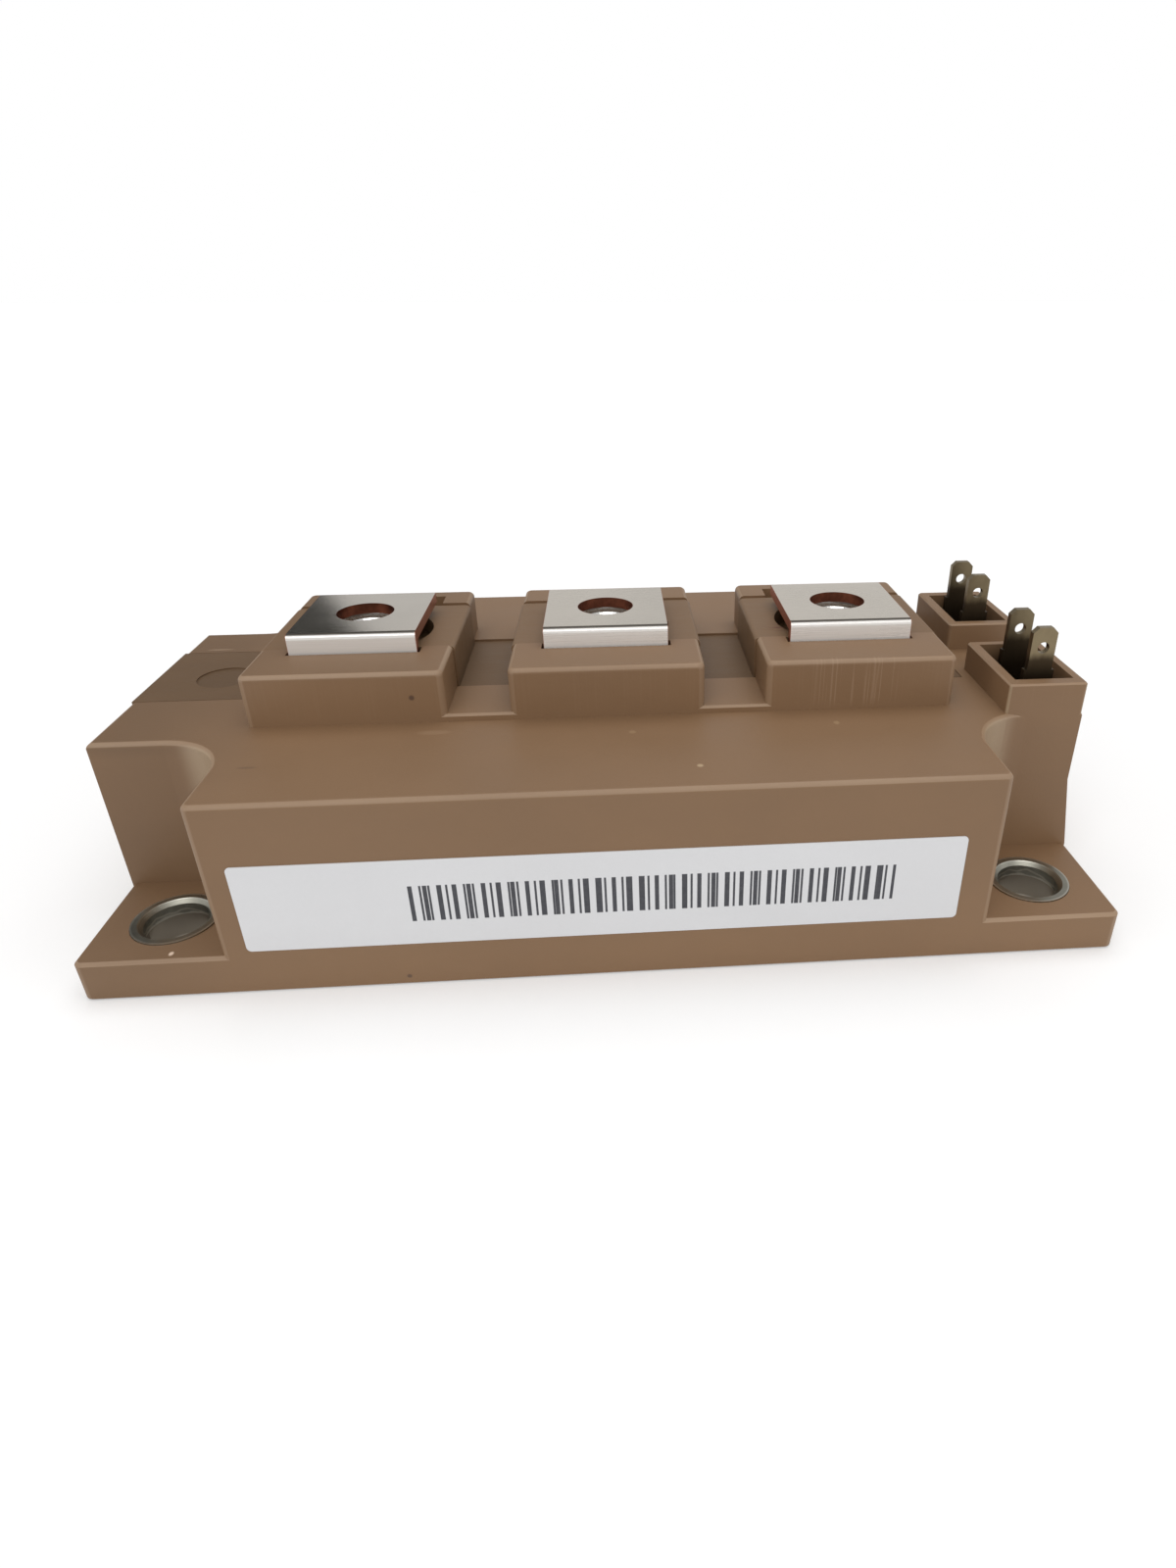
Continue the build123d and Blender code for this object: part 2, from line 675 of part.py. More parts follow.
# Flat leads: down from each tab, across above the gel and down onto the strips, gate and sense in turn
row_gap_y = sum(row_ys) / 2
lead_ends = [
    (tile_x + gate_u, tab_places[0][1]),
    (tile_x + sense_u, strap_front_y - lead_margin),
    (-tile_x - sense_u, row_gap_y),
    (-tile_x - gate_u, copper_half_y - lead_margin),
]
for number, ((x, y), (end_x, end_y)) in enumerate(zip(tab_places, lead_ends), 1):
    run = math.hypot(end_x - x, end_y - y)
    across = Plane(origin=(x, y, 0), x_dir=(end_x - x, end_y - y, 0), z_dir=(end_y - y, x - end_x, 0))
    with BuildPart() as lead:
        with BuildSketch(across):
            with BuildLine() as lead_line:
                Polyline((0, tab_bottom_z), (0, lead_run_z), (run, lead_run_z), (run, copper_top))
            trace(lead_line.line, lead_t)
        extrude(amount=lead_width / 2, both=True)
    save(lead.part, f"control_lead_{number}")
    inner_parts.append(lead.part)

# Gel: fills the bottom of the room round everything that stands in it, with one plain hollow over each row
hollow_top = apex + ribbon_t / 2 + fit_gap
hollow_u1 = emitter_u - ribbon_foot - fit_gap
hollow_u2 = gate_u + bond_foot + fit_gap
with BuildPart() as gel:
    with BuildSketch(Plane.XY.offset(base_t)):
        add(cavity_outline())
    extrude(amount=gel_z - base_t)
    with BuildSketch(Plane.XY.offset(copper_top)):
        for name, side, y in spots:
            with Locations((side * (tile_x + (hollow_u1 + hollow_u2) / 2), y)):
                Rectangle(hollow_u2 - hollow_u1, row_depth)
    extrude(amount=hollow_top - copper_top, mode=Mode.SUBTRACT)
    for piece in inner_parts:
        add(piece, mode=Mode.SUBTRACT)
save(gel.part, "gel")
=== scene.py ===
import math

import bmesh
import bpy
from mathutils import Matrix, Vector


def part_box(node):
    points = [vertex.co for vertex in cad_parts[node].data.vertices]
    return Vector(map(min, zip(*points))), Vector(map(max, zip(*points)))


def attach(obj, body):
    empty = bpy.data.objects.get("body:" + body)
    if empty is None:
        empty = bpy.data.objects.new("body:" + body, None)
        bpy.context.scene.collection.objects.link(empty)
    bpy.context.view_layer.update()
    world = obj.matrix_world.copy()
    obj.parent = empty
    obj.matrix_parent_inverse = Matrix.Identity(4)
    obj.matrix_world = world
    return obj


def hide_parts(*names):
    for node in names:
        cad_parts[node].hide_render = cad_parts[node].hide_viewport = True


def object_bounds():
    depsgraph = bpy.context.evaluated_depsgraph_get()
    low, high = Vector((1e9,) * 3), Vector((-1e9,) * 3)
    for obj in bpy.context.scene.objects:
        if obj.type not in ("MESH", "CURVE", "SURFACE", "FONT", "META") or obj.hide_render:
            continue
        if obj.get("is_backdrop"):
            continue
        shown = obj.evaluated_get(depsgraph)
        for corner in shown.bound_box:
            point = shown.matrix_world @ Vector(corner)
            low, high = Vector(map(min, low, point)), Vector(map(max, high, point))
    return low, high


bl_info = {
    "name": "Half-bridge power module",
    "version": (1, 0, 0),
    "blender": (4, 5, 0),
    "location": "3D View > Sidebar > Power module",
    "description": "Finishes and detail pieces for a packed half-bridge power module",
    "category": "Object",
}

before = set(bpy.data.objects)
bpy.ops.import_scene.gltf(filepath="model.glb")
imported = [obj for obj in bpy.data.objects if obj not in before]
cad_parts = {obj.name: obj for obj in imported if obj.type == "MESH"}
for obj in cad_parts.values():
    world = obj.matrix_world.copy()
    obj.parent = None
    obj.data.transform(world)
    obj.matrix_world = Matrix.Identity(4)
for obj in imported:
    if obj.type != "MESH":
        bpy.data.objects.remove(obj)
cad_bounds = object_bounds()

# The frame is in metres. Sizes here are in millimetres times mm.
mm = 0.001

sides = ("left", "middle", "right")
terminals = [f"power_terminal_{side}" for side in sides]
nuts = [f"terminal_nut_{side}" for side in sides]
collars = [f"mounting_collar_{number}" for number in range(1, 5)]
tabs = [f"control_tab_{number}" for number in range(1, 5)]
sockets = ["control_socket_front", "control_socket_rear"]


def corners(node):
    """The low and the high corner of a CAD node's box, in metres."""
    low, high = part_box(node)
    return Vector(low), Vector(high)


def middle(node):
    """The middle of a CAD node's box, in metres."""
    low, high = corners(node)
    return (low + high) / 2


terminal_low, terminal_high = corners("power_terminal_middle")
terminal_pitch = middle("power_terminal_right").x - middle("power_terminal_middle").x
label_low, label_high = corners("label")
collar_low, collar_high = corners("mounting_collar_1")
collar_middle = middle("mounting_collar_1")

# Places on the moulding and the metal that no box gives, in millimetres of the CAD frame
body_front_y = -31.0
deck_z = 22.0
block_front_y = -14.1
block_half_width = 10.6
block_top_z = 27.8
lid_front_y = -6.1
ejector_x, ejector_y, ejector_radius = -46.0, 0.8, 3.2
cove_y = (14.9, 29.5)
socket_top_z = 25.4
socket_hollow_x = (44.78, 51.57)
socket_hollow_y = (4.23, 15.47)
strap_front_y = -7.7
strap_hole_radius = 3.25
collar_mouth_radius = 3.7


class Value:
    """One output of a material's graph. Arithmetic on it adds the Math nodes that work it out."""

    def __init__(self, graph, socket):
        self.graph = graph
        self.socket = socket

    def __add__(self, other):
        return self.graph.math("ADD", self, other)

    def __sub__(self, other):
        return self.graph.math("SUBTRACT", self, other)

    def __mul__(self, other):
        return self.graph.math("MULTIPLY", self, other)

    def __radd__(self, other):
        return self.graph.math("ADD", other, self)

    def __rsub__(self, other):
        return self.graph.math("SUBTRACT", other, self)

    def __abs__(self):
        return self.graph.math("ABSOLUTE", self)


class Graph:
    """A material's node tree, written as expressions on its values."""

    def __init__(self, name):
        self.material = bpy.data.materials.new(name)
        self.material.use_nodes = True
        self.tree = self.material.node_tree
        self.shader = self.tree.nodes["Principled BSDF"]

    def add(self, kind, settings=None, values=None, out=0):
        """Adds a node, makes its settings, then fills its sockets with numbers, colours or links."""
        node = self.tree.nodes.new(kind)
        for name, setting in (settings or {}).items():
            setattr(node, name, setting)
        for key, value in (values or {}).items():
            self.fill(node.inputs[key], value)
        return Value(self, node.outputs[out])

    def fill(self, socket, value):
        """Links a value to a socket, or sets the socket to a number, vector or colour."""
        if isinstance(value, Value):
            self.tree.links.new(value.socket, socket)
        elif socket.type == "RGBA":
            socket.default_value = (*value[:3], 1.0)
        else:
            socket.default_value = value

    def math(self, operation, *values):
        """A Math node on one, two or three numbers."""
        return self.add("ShaderNodeMath", {"operation": operation}, dict(enumerate(values)))

    def place(self):
        """Where a point is on the part, in millimetres of the CAD frame."""
        position = self.add("ShaderNodeTexCoord", out="Object")
        return self.add("ShaderNodeVectorMath", {"operation": "SCALE"}, {0: position, "Scale": 1 / mm})

    def axes(self, vector, letters="XYZ"):
        """The numbers of a vector along the axes that letters names."""
        node = self.add("ShaderNodeSeparateXYZ", values={0: vector}).socket.node
        return [Value(self, node.outputs[letter]) for letter in letters]

    def slopes(self):
        """How squarely a face looks along X, Y and Z, each from 0 to 1."""
        normal = self.add("ShaderNodeTexCoord", out="Normal")
        return [abs(part) for part in self.axes(normal)]

    def most(self, first, *others):
        """The greatest of some numbers."""
        for other in others:
            first = self.math("MAXIMUM", first, other)
        return first

    def radius(self, across, along):
        """Distance from an axis, from the distances along two others."""
        return self.math("SQRT", across * across + along * along)

    def off_centre(self, value, pitch):
        """Distance from the middle of the nearest copy in an endless row that has one copy at 0."""
        return abs(self.math("WRAP", value, pitch / 2, -pitch / 2))

    def step(self, value, start, end):
        """A smooth rise from 0 at start to 1 at end."""
        return self.add(
            "ShaderNodeMapRange",
            {"interpolation_type": "SMOOTHSTEP"},
            {"Value": value, "From Min": start, "From Max": end},
        )

    def fall(self, value, start, end):
        """A smooth fall from 1 at start to 0 at end."""
        return 1 - self.step(value, start, end)

    def band(self, value, low, high, soft):
        """1 between low and high and 0 outside them, with soft ends inside the band."""
        return self.step(value, low, low + soft) * self.fall(value, high - soft, high)

    def noise(self, place, sizes, detail=2.0):
        """Clouds from 0 to 1 whose features are about sizes long, in millimetres along X, Y and Z."""
        scale = [1 / size for size in sizes]
        scaled = self.add("ShaderNodeVectorMath", {"operation": "MULTIPLY"}, {0: place, 1: scale})
        return self.add("ShaderNodeTexNoise", values={"Vector": scaled, "Scale": 1.0, "Detail": detail})

    def spot(self, place, centre, radii, soft=0.4):
        """1 inside an ellipsoid and 0 outside it, in millimetres."""
        offset = self.add("ShaderNodeVectorMath", {"operation": "SUBTRACT"}, {0: place, 1: centre})
        shrunk = self.add("ShaderNodeVectorMath", {"operation": "DIVIDE"}, {0: offset, 1: radii})
        distance = self.add("ShaderNodeVectorMath", {"operation": "LENGTH"}, {0: shrunk}, out="Value")
        return self.fall(distance, 1 - soft, 1 + soft)

    def mix(self, mask, base, top):
        """One colour where the mask is 0 and the other where it is 1.

        A Mix node has its factor at input 0, its colours at 6 and 7 and its colour output at 2.
        """
        return self.add("ShaderNodeMix", {"data_type": "RGBA"}, {0: mask, 6: base, 7: top}, out=2)

    def shade(self, colour, amount):
        """A colour made lighter or darker by a number."""
        settings = {"data_type": "RGBA", "blend_type": "MULTIPLY"}
        return self.add("ShaderNodeMix", settings, {0: 1.0, 6: colour, 7: amount}, out=2)

    def bump(self, height, depth, under=None):
        """A normal from a height of 0 to 1 that stands for depth in metres."""
        values = {"Height": height, "Distance": depth, "Strength": 1.0}
        if under:
            values["Normal"] = under
        return self.add("ShaderNodeBump", values=values)

    def surface(self, **sockets):
        """Fills the shader's sockets, given with underscores for the spaces in their names."""
        for name, value in sockets.items():
            self.fill(self.shader.inputs[name.replace("_", " ")], value)
        return self.material


def paint(material, *nodes):
    """Gives CAD nodes, or new pieces, one material."""
    for node in nodes:
        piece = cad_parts[node] if isinstance(node, str) else node
        piece.data.materials.clear()
        piece.data.materials.append(material)


def order_faces(bm):
    """Lists the faces by their corners, because some bmesh operators list them differently each run."""
    faces = sorted(bm.faces, key=lambda face: sorted(tuple(vert.co) for vert in face.verts))
    for number, face in enumerate(faces):
        face.index = number
    bm.faces.sort()


def new_piece(name, bm):
    """An object at the origin from a finished bmesh."""
    bmesh.ops.recalc_face_normals(bm, faces=bm.faces[:])
    mesh = bpy.data.meshes.new(name)
    bm.to_mesh(mesh)
    bm.free()
    piece = bpy.data.objects.new(name, mesh)
    bpy.context.scene.collection.objects.link(piece)
    return piece


class ModuleLooks(bpy.types.PropertyGroup):
    """Colours of the module's finishes."""

    housing: bpy.props.FloatVectorProperty(
        name="Housing",
        description="Moulded case",
        subtype="COLOR",
        size=3,
        default=(0.222, 0.128, 0.064),
    )
    lid: bpy.props.FloatVectorProperty(
        name="Lid",
        description="Moulded strip under the terminals",
        subtype="COLOR",
        size=3,
        default=(0.190, 0.114, 0.060),
    )
    plating: bpy.props.FloatVectorProperty(
        name="Plating",
        description="Nickel on the terminals",
        subtype="COLOR",
        size=3,
        default=(0.72, 0.665, 0.585),
    )
    bare_edge: bpy.props.FloatVectorProperty(
        name="Bare edge",
        description="Copper at the cut edges",
        subtype="COLOR",
        size=3,
        default=(0.38, 0.13, 0.075),
    )
    nut: bpy.props.FloatVectorProperty(
        name="Nuts",
        description="Zinc on the nuts",
        subtype="COLOR",
        size=3,
        default=(0.74, 0.73, 0.70),
    )
    collar: bpy.props.FloatVectorProperty(
        name="Collars",
        description="Steel in the mounting holes",
        subtype="COLOR",
        size=3,
        default=(0.33, 0.32, 0.27),
    )
    tab: bpy.props.FloatVectorProperty(
        name="Tabs",
        description="Tin on the control tabs",
        subtype="COLOR",
        size=3,
        default=(0.25, 0.198, 0.12),
    )
    paper: bpy.props.FloatVectorProperty(
        name="Paper",
        description="Label stock",
        subtype="COLOR",
        size=3,
        default=(0.69, 0.69, 0.70),
    )
    ink: bpy.props.FloatVectorProperty(
        name="Ink",
        description="Bars on the label",
        subtype="COLOR",
        size=3,
        default=(0.035, 0.036, 0.045),
    )
    copper: bpy.props.FloatVectorProperty(
        name="Copper",
        description="Hidden copper areas and leads",
        subtype="COLOR",
        size=3,
        default=(0.72, 0.34, 0.21),
    )
    silicon: bpy.props.FloatVectorProperty(
        name="Silicon",
        description="Metallised top of the chips",
        subtype="COLOR",
        size=3,
        default=(0.30, 0.31, 0.34),
    )


class ModuleStage(bpy.types.PropertyGroup):
    """Camera and lights."""

    camera_place: bpy.props.FloatVectorProperty(
        name="Camera place",
        description="Where the lens stands",
        subtype="TRANSLATION",
        size=3,
        default=(1.18 * mm, -106.82 * mm, 64.22 * mm),
    )
    camera_aim: bpy.props.FloatVectorProperty(
        name="Camera aim",
        description="A point on the line through the middle of the lens",
        subtype="TRANSLATION",
        size=3,
        default=(9.64 * mm, 0.0, 5.6 * mm),
    )
    lens: bpy.props.FloatProperty(
        name="Lens", description="Focal length on a 36 mm film side", unit="CAMERA", default=21.15
    )
    shift: bpy.props.FloatVectorProperty(
        name="Lens shift",
        description="Shift as a share of the long side",
        size=2,
        default=(-0.0625, -0.001),
    )
    overhead: bpy.props.FloatProperty(
        name="Overhead light", description="Power of the soft light above", unit="POWER", default=1.4
    )
    front: bpy.props.FloatProperty(
        name="Front light", description="Power of the soft light in front", unit="POWER", default=2.2
    )
    sides: bpy.props.FloatProperty(
        name="Side lights", description="Power of each soft light at the sides", unit="POWER", default=0.8
    )
    ambient: bpy.props.FloatProperty(
        name="Ambient", description="Strength of the light from all sides", default=0.5
    )
    mirrored: bpy.props.FloatProperty(
        name="Mirrored", description="Strength of the surroundings that metal reflects", default=0.68
    )
    floor: bpy.props.FloatVectorProperty(
        name="Floor",
        description="Colour of the floor",
        subtype="COLOR",
        size=3,
        default=(0.85, 0.85, 0.85),
    )


class MODULE_OT_housing(bpy.types.Operator):
    """Moulded finish of the case, with its flow streaks and small marks, and painted shade and highlights
    """

    bl_idname = "module.housing"
    bl_label = "Housing"

    def execute(self, context):
        looks = context.scene.module_looks
        graph = Graph("moulded housing")
        place = graph.place()
        x, y, z = graph.axes(place)
        clouds = graph.noise(place, (34, 34, 20))
        patches = graph.noise(place, (6, 6, 4), detail=3.0)

        # Painted shade darkens the left end, the top of the left block and the gaps; painted light makes
        # the front lighter low down
        left_end_shade = graph.fall(x, -52, -34) * (0.14 + graph.step(z, deck_z - 2, deck_z - 0.5) * 0.1)
        left_block_shade = graph.fall(x, -22, -12) * graph.step(z, block_top_z - 0.8, block_top_z - 0.1)
        across_gap = graph.band(
            abs(x), block_half_width - 0.3, terminal_pitch / mm - block_half_width + 0.3, 0.3
        )
        along_gap = graph.band(y, block_front_y + 0.2, lid_front_y + 0.3, 0.3)
        gap_shade = across_gap * along_gap * graph.fall(z, deck_z + 0.2, deck_z + 0.8)
        front_face = graph.fall(y, body_front_y + 0.1, body_front_y + 0.6)
        front_light_and_shade = front_face * (0.05 - graph.step(z, 1, 14) * 0.1)
        tone = 0.88 + clouds * 0.16 + patches * 0.08
        tone = tone - left_end_shade - left_block_shade * 0.14 - gap_shade * 0.31 + front_light_and_shade

        # Fine upright lines left in the block fronts by the tool, strongest on the right block
        lines = graph.noise(place, (0.22, 30, 14), detail=1.0)
        block_face = graph.fall(y, block_front_y + 0.2, block_front_y + 1.1)
        on_block = graph.step(z, deck_z, deck_z + 1.5) * block_face
        on_right = graph.step(x, 21, 25) * graph.fall(x, 30, 33)
        streaks = graph.step(lines, 0.54, 0.66) * on_block * (0.05 + on_right * 0.5)

        # Painted highlights: the rounded edges are lighter than the faces between them, and the coves near
        # the deck too
        faces_x, faces_y, faces_z = graph.slopes()
        turned = faces_x * faces_y * 2
        in_cove = graph.band(abs(y), *cove_y, 1.5)
        upper_edges = graph.step(faces_z, 0.2, 0.4) * graph.fall(faces_z, 0.92, 0.99)
        upright_edges = graph.step(turned, 0.2, 0.6) * (1 - in_cove) * 0.6
        edges = graph.most(upper_edges, upright_edges)
        cove_highlight = graph.step(turned, 0.3, 0.95) * in_cove * graph.step(z, 8, deck_z - 1)
        cove_highlight = cove_highlight * (1 - graph.step(y, -5, 5) * 0.6)

        # Painted shade: the insides of the control sockets get darker towards their floors
        in_socket = graph.band(x, *socket_hollow_x, 0.05) * graph.band(abs(y), *socket_hollow_y, 0.05)
        depth = graph.fall(z, deck_z - 0.5, socket_top_z + 0.2)

        colour = graph.shade(looks.housing, tone)
        colour = graph.mix(streaks * 0.35, colour, (0.44, 0.31, 0.21))
        colour = graph.mix(edges * (0.1 + clouds * 0.55), colour, (0.42, 0.30, 0.20))
        colour = graph.mix(cove_highlight * 0.55, colour, (0.42, 0.32, 0.21))
        colour = graph.mix(in_socket * depth * 0.85, colour, (0.035, 0.018, 0.009))

        # Small marks on the faces: where they are, how large, their colour and how strong it is
        marks = (
            ((-20.9, -14.1, 24.9), (0.28, 1.0, 0.28), (0.06, 0.03, 0.02), 0.8),
            ((-21.4, -31.0, 1.1), (0.25, 1.0, 0.22), (0.07, 0.04, 0.03), 0.7),
            ((-44.7, -29.9, 4.6), (0.22, 0.3, 1.0), (0.80, 0.62, 0.48), 0.9),
            ((8.95, -26.5, 22.0), (0.3, 0.3, 1.0), (0.50, 0.36, 0.22), 0.7),
            ((2.5, -18.3, 22.0), (0.35, 0.35, 1.0), (0.42, 0.29, 0.16), 0.3),
            ((24.6, -17.7, 22.0), (0.3, 0.4, 1.0), (0.42, 0.29, 0.16), 0.4),
            ((-18.5, -16.8, 22.0), (1.6, 0.5, 1.0), (0.40, 0.27, 0.17), 0.2),
            ((-35.6, -23.5, 22.0), (0.9, 0.2, 1.0), (0.12, 0.07, 0.04), 0.5),
            ((-50.0, 10.6, 22.0), (1.5, 0.15, 1.0), (0.42, 0.30, 0.20), 0.6),
        )
        for centre, radii, tint, amount in marks:
            colour = graph.mix(graph.spot(place, centre, radii) * amount, colour, tint)

        grain = graph.noise(place, (0.25, 0.25, 0.25), detail=3.0)
        waves = graph.noise(place, (9, 9, 5), detail=1.0)
        normal = graph.bump(grain, 0.01 * mm, graph.bump(waves, 0.06 * mm))
        material = graph.surface(
            Base_Color=colour,
            Roughness=0.46 + patches * 0.12 - streaks * 0.05,
            Normal=normal,
            Specular_IOR_Level=0.5,
        )
        paint(material, "case", *sockets)
        return {"FINISHED"}


class MODULE_OT_lid(bpy.types.Operator):
    """Duller finish of the lid strip, with its ejector mark and the scuff beside the right terminal"""

    bl_idname = "module.lid"
    bl_label = "Lid"

    def execute(self, context):
        looks = context.scene.module_looks
        graph = Graph("moulded lid")
        place = graph.place()
        x, y, z = graph.axes(place)
        clouds = graph.noise(place, (22, 22, 14))
        patches = graph.noise(place, (3, 1.2, 3), detail=3.0)
        drawn = graph.noise(place, (18, 0.5, 6), detail=2.0)
        # Painted shade: the lid is darker at deck height, in the gaps and at the left end, than on the
        # saddles
        low = graph.fall(z, deck_z + 0.5, deck_z + 2.5)
        from_ejector = graph.radius(x - ejector_x, y - ejector_y)
        ejector = graph.fall(from_ejector, ejector_radius - 0.1, ejector_radius + 0.1)
        tone = 0.86 + clouds * 0.16 + patches * 0.08 + drawn * 0.05 - low * 0.25 - ejector * 0.1
        colour = graph.shade(looks.lid, tone)

        scuff = graph.spot(place, (20.6, -2.6, 27.7), (1.7, 1.0, 0.8), soft=0.8)
        scratches = graph.step(graph.noise(place, (1.6, 0.2, 1.0), detail=3.0), 0.48, 0.62)
        colour = graph.mix(scuff * scratches * 0.75, colour, (0.13, 0.05, 0.035))
        # A painted glint: a small white highlight behind the left terminal
        glint = graph.spot(place, (-20.6, 11.0, 27.7), (0.3, 0.5, 0.6))
        colour = graph.mix(glint, colour, (0.9, 0.88, 0.86))

        grain = graph.noise(place, (0.3, 0.3, 0.3), detail=3.0)
        material = graph.surface(
            Base_Color=colour,
            Roughness=0.44 + patches * 0.14,
            Normal=graph.bump(grain, 0.012 * mm),
            Specular_IOR_Level=0.25,
        )
        paint(material, "lid")
        return {"FINISHED"}


class MODULE_OT_terminals(bpy.types.Operator):
    """Nickel on the folded straps, with bare copper at their cut edges"""

    bl_idname = "module.terminals"
    bl_label = "Power terminals"

    def execute(self, context):
        looks = context.scene.module_looks
        graph = Graph("plated copper terminal")
        place = graph.place()
        x, y, z = graph.axes(place)
        half_width = (terminal_high.x - terminal_low.x) / mm / 2
        back = terminal_high.y / mm
        top = terminal_high.z / mm

        # The sides, the back end and the hole are cut through the plating
        across = graph.off_centre(x, terminal_pitch / mm)
        side_cut = graph.step(across, half_width - 0.05, half_width - 0.01)
        back_cut = graph.step(y, back - 0.05, back - 0.01)
        hole_cut = graph.fall(graph.radius(across, y), strap_hole_radius + 0.01, strap_hole_radius + 0.06)
        cut = graph.most(side_cut, back_cut, hole_cut)

        # The left strap is the most polished, with lower roughness. Painted shade darkens the left strap,
        # and the middle one most at its right side
        polished = graph.fall(x, -20, -15)
        middle_strap_shade = graph.fall(abs(x), 8, 14) * graph.step(x, -4, 8)
        brushed = graph.noise(place, (9, 0.1, 0.1), detail=2.0)
        clouds = graph.noise(place, (5, 5, 5), detail=3.0)
        smear = graph.noise(place, (0.5, 0.5, 0.5), detail=3.0)
        tone = 0.9 + clouds * 0.12 + brushed * 0.03 - polished * 0.14 - middle_strap_shade * 0.08
        plated = graph.shade(looks.plating, tone)

        # Painted reflections: a dark line along the bend, over a bright, less metallic front of the strap
        front = graph.fall(y, strap_front_y + 0.2, strap_front_y + 0.4)
        before_top = graph.fall(y, strap_front_y + 0.6, strap_front_y + 0.75)
        bend = graph.step(z, top - 0.16, top - 0.1) * before_top
        bright = graph.shade((0.90, 0.87, 0.83), 0.8 + brushed * 0.2)
        plated = graph.mix(front, plated, bright)
        plated = graph.mix(bend * 0.9, plated, (0.045, 0.036, 0.028))
        bare = graph.shade(looks.bare_edge, (0.5 + smear * 0.9) * (1 - hole_cut * 0.45))
        worn = brushed * 0.06 + clouds * 0.06 + cut * 0.2 + bend * 0.3
        material = graph.surface(
            Base_Color=graph.mix(cut, plated, bare),
            Metallic=1 - front * 0.7,
            Roughness=0.22 + worn - polished * 0.16,
            Normal=graph.bump(brushed, 0.0015 * mm),
        )
        paint(material, *terminals)
        return {"FINISHED"}


class MODULE_OT_nuts(bpy.types.Operator):
    """Captive nuts with a cut thread, in place of the plain CAD ones"""

    bl_idname = "module.nuts"
    bl_label = "Terminal nuts"

    bore: bpy.props.FloatProperty(
        name="Thread outside",
        description="Radius of the bore under the thread",
        unit="LENGTH",
        default=3.0 * mm,
    )
    core: bpy.props.FloatProperty(
        name="Thread core",
        description="Radius at the tips of the thread",
        unit="LENGTH",
        default=2.5 * mm,
    )
    pitch: bpy.props.FloatProperty(
        name="Thread pitch", description="Height of one turn", unit="LENGTH", default=1.0 * mm
    )
    chamfer: bpy.props.FloatProperty(
        name="Chamfer",
        description="Cut at the nut's upper corners and mouth",
        unit="LENGTH",
        default=0.5 * mm,
    )

    def wall(self, bm, facets, levels):
        """A wall through rings of the heights and radii in levels. Gives the edges of both end rings."""
        rings = []
        for z, radius in levels:
            level = Matrix.Translation((0, 0, z))
            verts = bmesh.ops.create_circle(bm, segments=facets, radius=radius, matrix=level)["verts"]
            rings.append(list(dict.fromkeys(edge for vert in verts for edge in vert.link_edges)))
        for lower, upper in zip(rings, rings[1:]):
            bmesh.ops.bridge_loops(bm, edges=lower + upper)
        return rings[0], rings[-1]

    def body(self, bm, low, high, corner):
        """A hexagon with cut upper corners and a round bore with a cut mouth."""
        corner_z, mouth_z = high - self.chamfer / 2, high - self.chamfer
        mouth = self.bore + self.chamfer / 2
        outside = self.wall(bm, 6, ((low, corner), (corner_z, corner), (high, corner - self.chamfer)))
        inside = self.wall(bm, 48, ((low, self.bore), (mouth_z, self.bore), (high, mouth)))
        for outer, inner in zip(outside, inside):
            bmesh.ops.triangle_fill(bm, use_beauty=True, edges=outer + inner)

    def thread(self, bm, low, high):
        """A ridge with a narrow crest that winds up the bore, its base sunk a little into the wall."""
        base = self.bore + 0.05 * mm
        half_base = self.pitch * 0.46
        half_crest = half_base * 0.15
        steps_per_turn = 36
        section = [
            bm.verts.new((base, 0, -half_base)),
            bm.verts.new((self.core, 0, -half_crest)),
            bm.verts.new((self.core, 0, half_crest)),
            bm.verts.new((base, 0, half_base)),
        ]
        start = bm.faces.new(section)
        turns = (high - low - 2 * half_base) / self.pitch
        steps = int(turns * steps_per_turn)
        bmesh.ops.translate(bm, verts=section, vec=(0, 0, low + half_base))
        bmesh.ops.spin(
            bm,
            geom=[start, *start.edges, *section],
            cent=(0, 0, 0),
            axis=(0, 0, 1),
            dvec=(0, 0, self.pitch / steps_per_turn),
            angle=math.tau * steps / steps_per_turn,
            steps=steps,
        )

    def execute(self, context):
        looks = context.scene.module_looks
        graph = Graph("zinc plated steel")
        place = graph.place()
        clouds = graph.noise(place, (1.5, 1.5, 1.5), detail=3.0)
        rubbed = graph.noise(place, (0.25, 0.25, 0.25), detail=2.0)
        material = graph.surface(
            Base_Color=graph.shade(looks.nut, 0.82 + clouds * 0.3),
            Metallic=1.0,
            Roughness=0.18 + rubbed * 0.16,
            Normal=graph.bump(rubbed, 0.004 * mm),
        )
        for node in nuts:
            low, high = corners(node)
            centre = middle(node)
            bm = bmesh.new()
            self.body(bm, low.z, high.z, (high.x - low.x) / 2)
            self.thread(bm, low.z, high.z - self.chamfer)
            bmesh.ops.translate(bm, verts=bm.verts[:], vec=(centre.x, centre.y, 0))
            order_faces(bm)
            piece = new_piece(f"threaded_{node}", bm)
            paint(material, piece)
            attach(piece, "root")
            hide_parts(node)
        return {"FINISHED"}


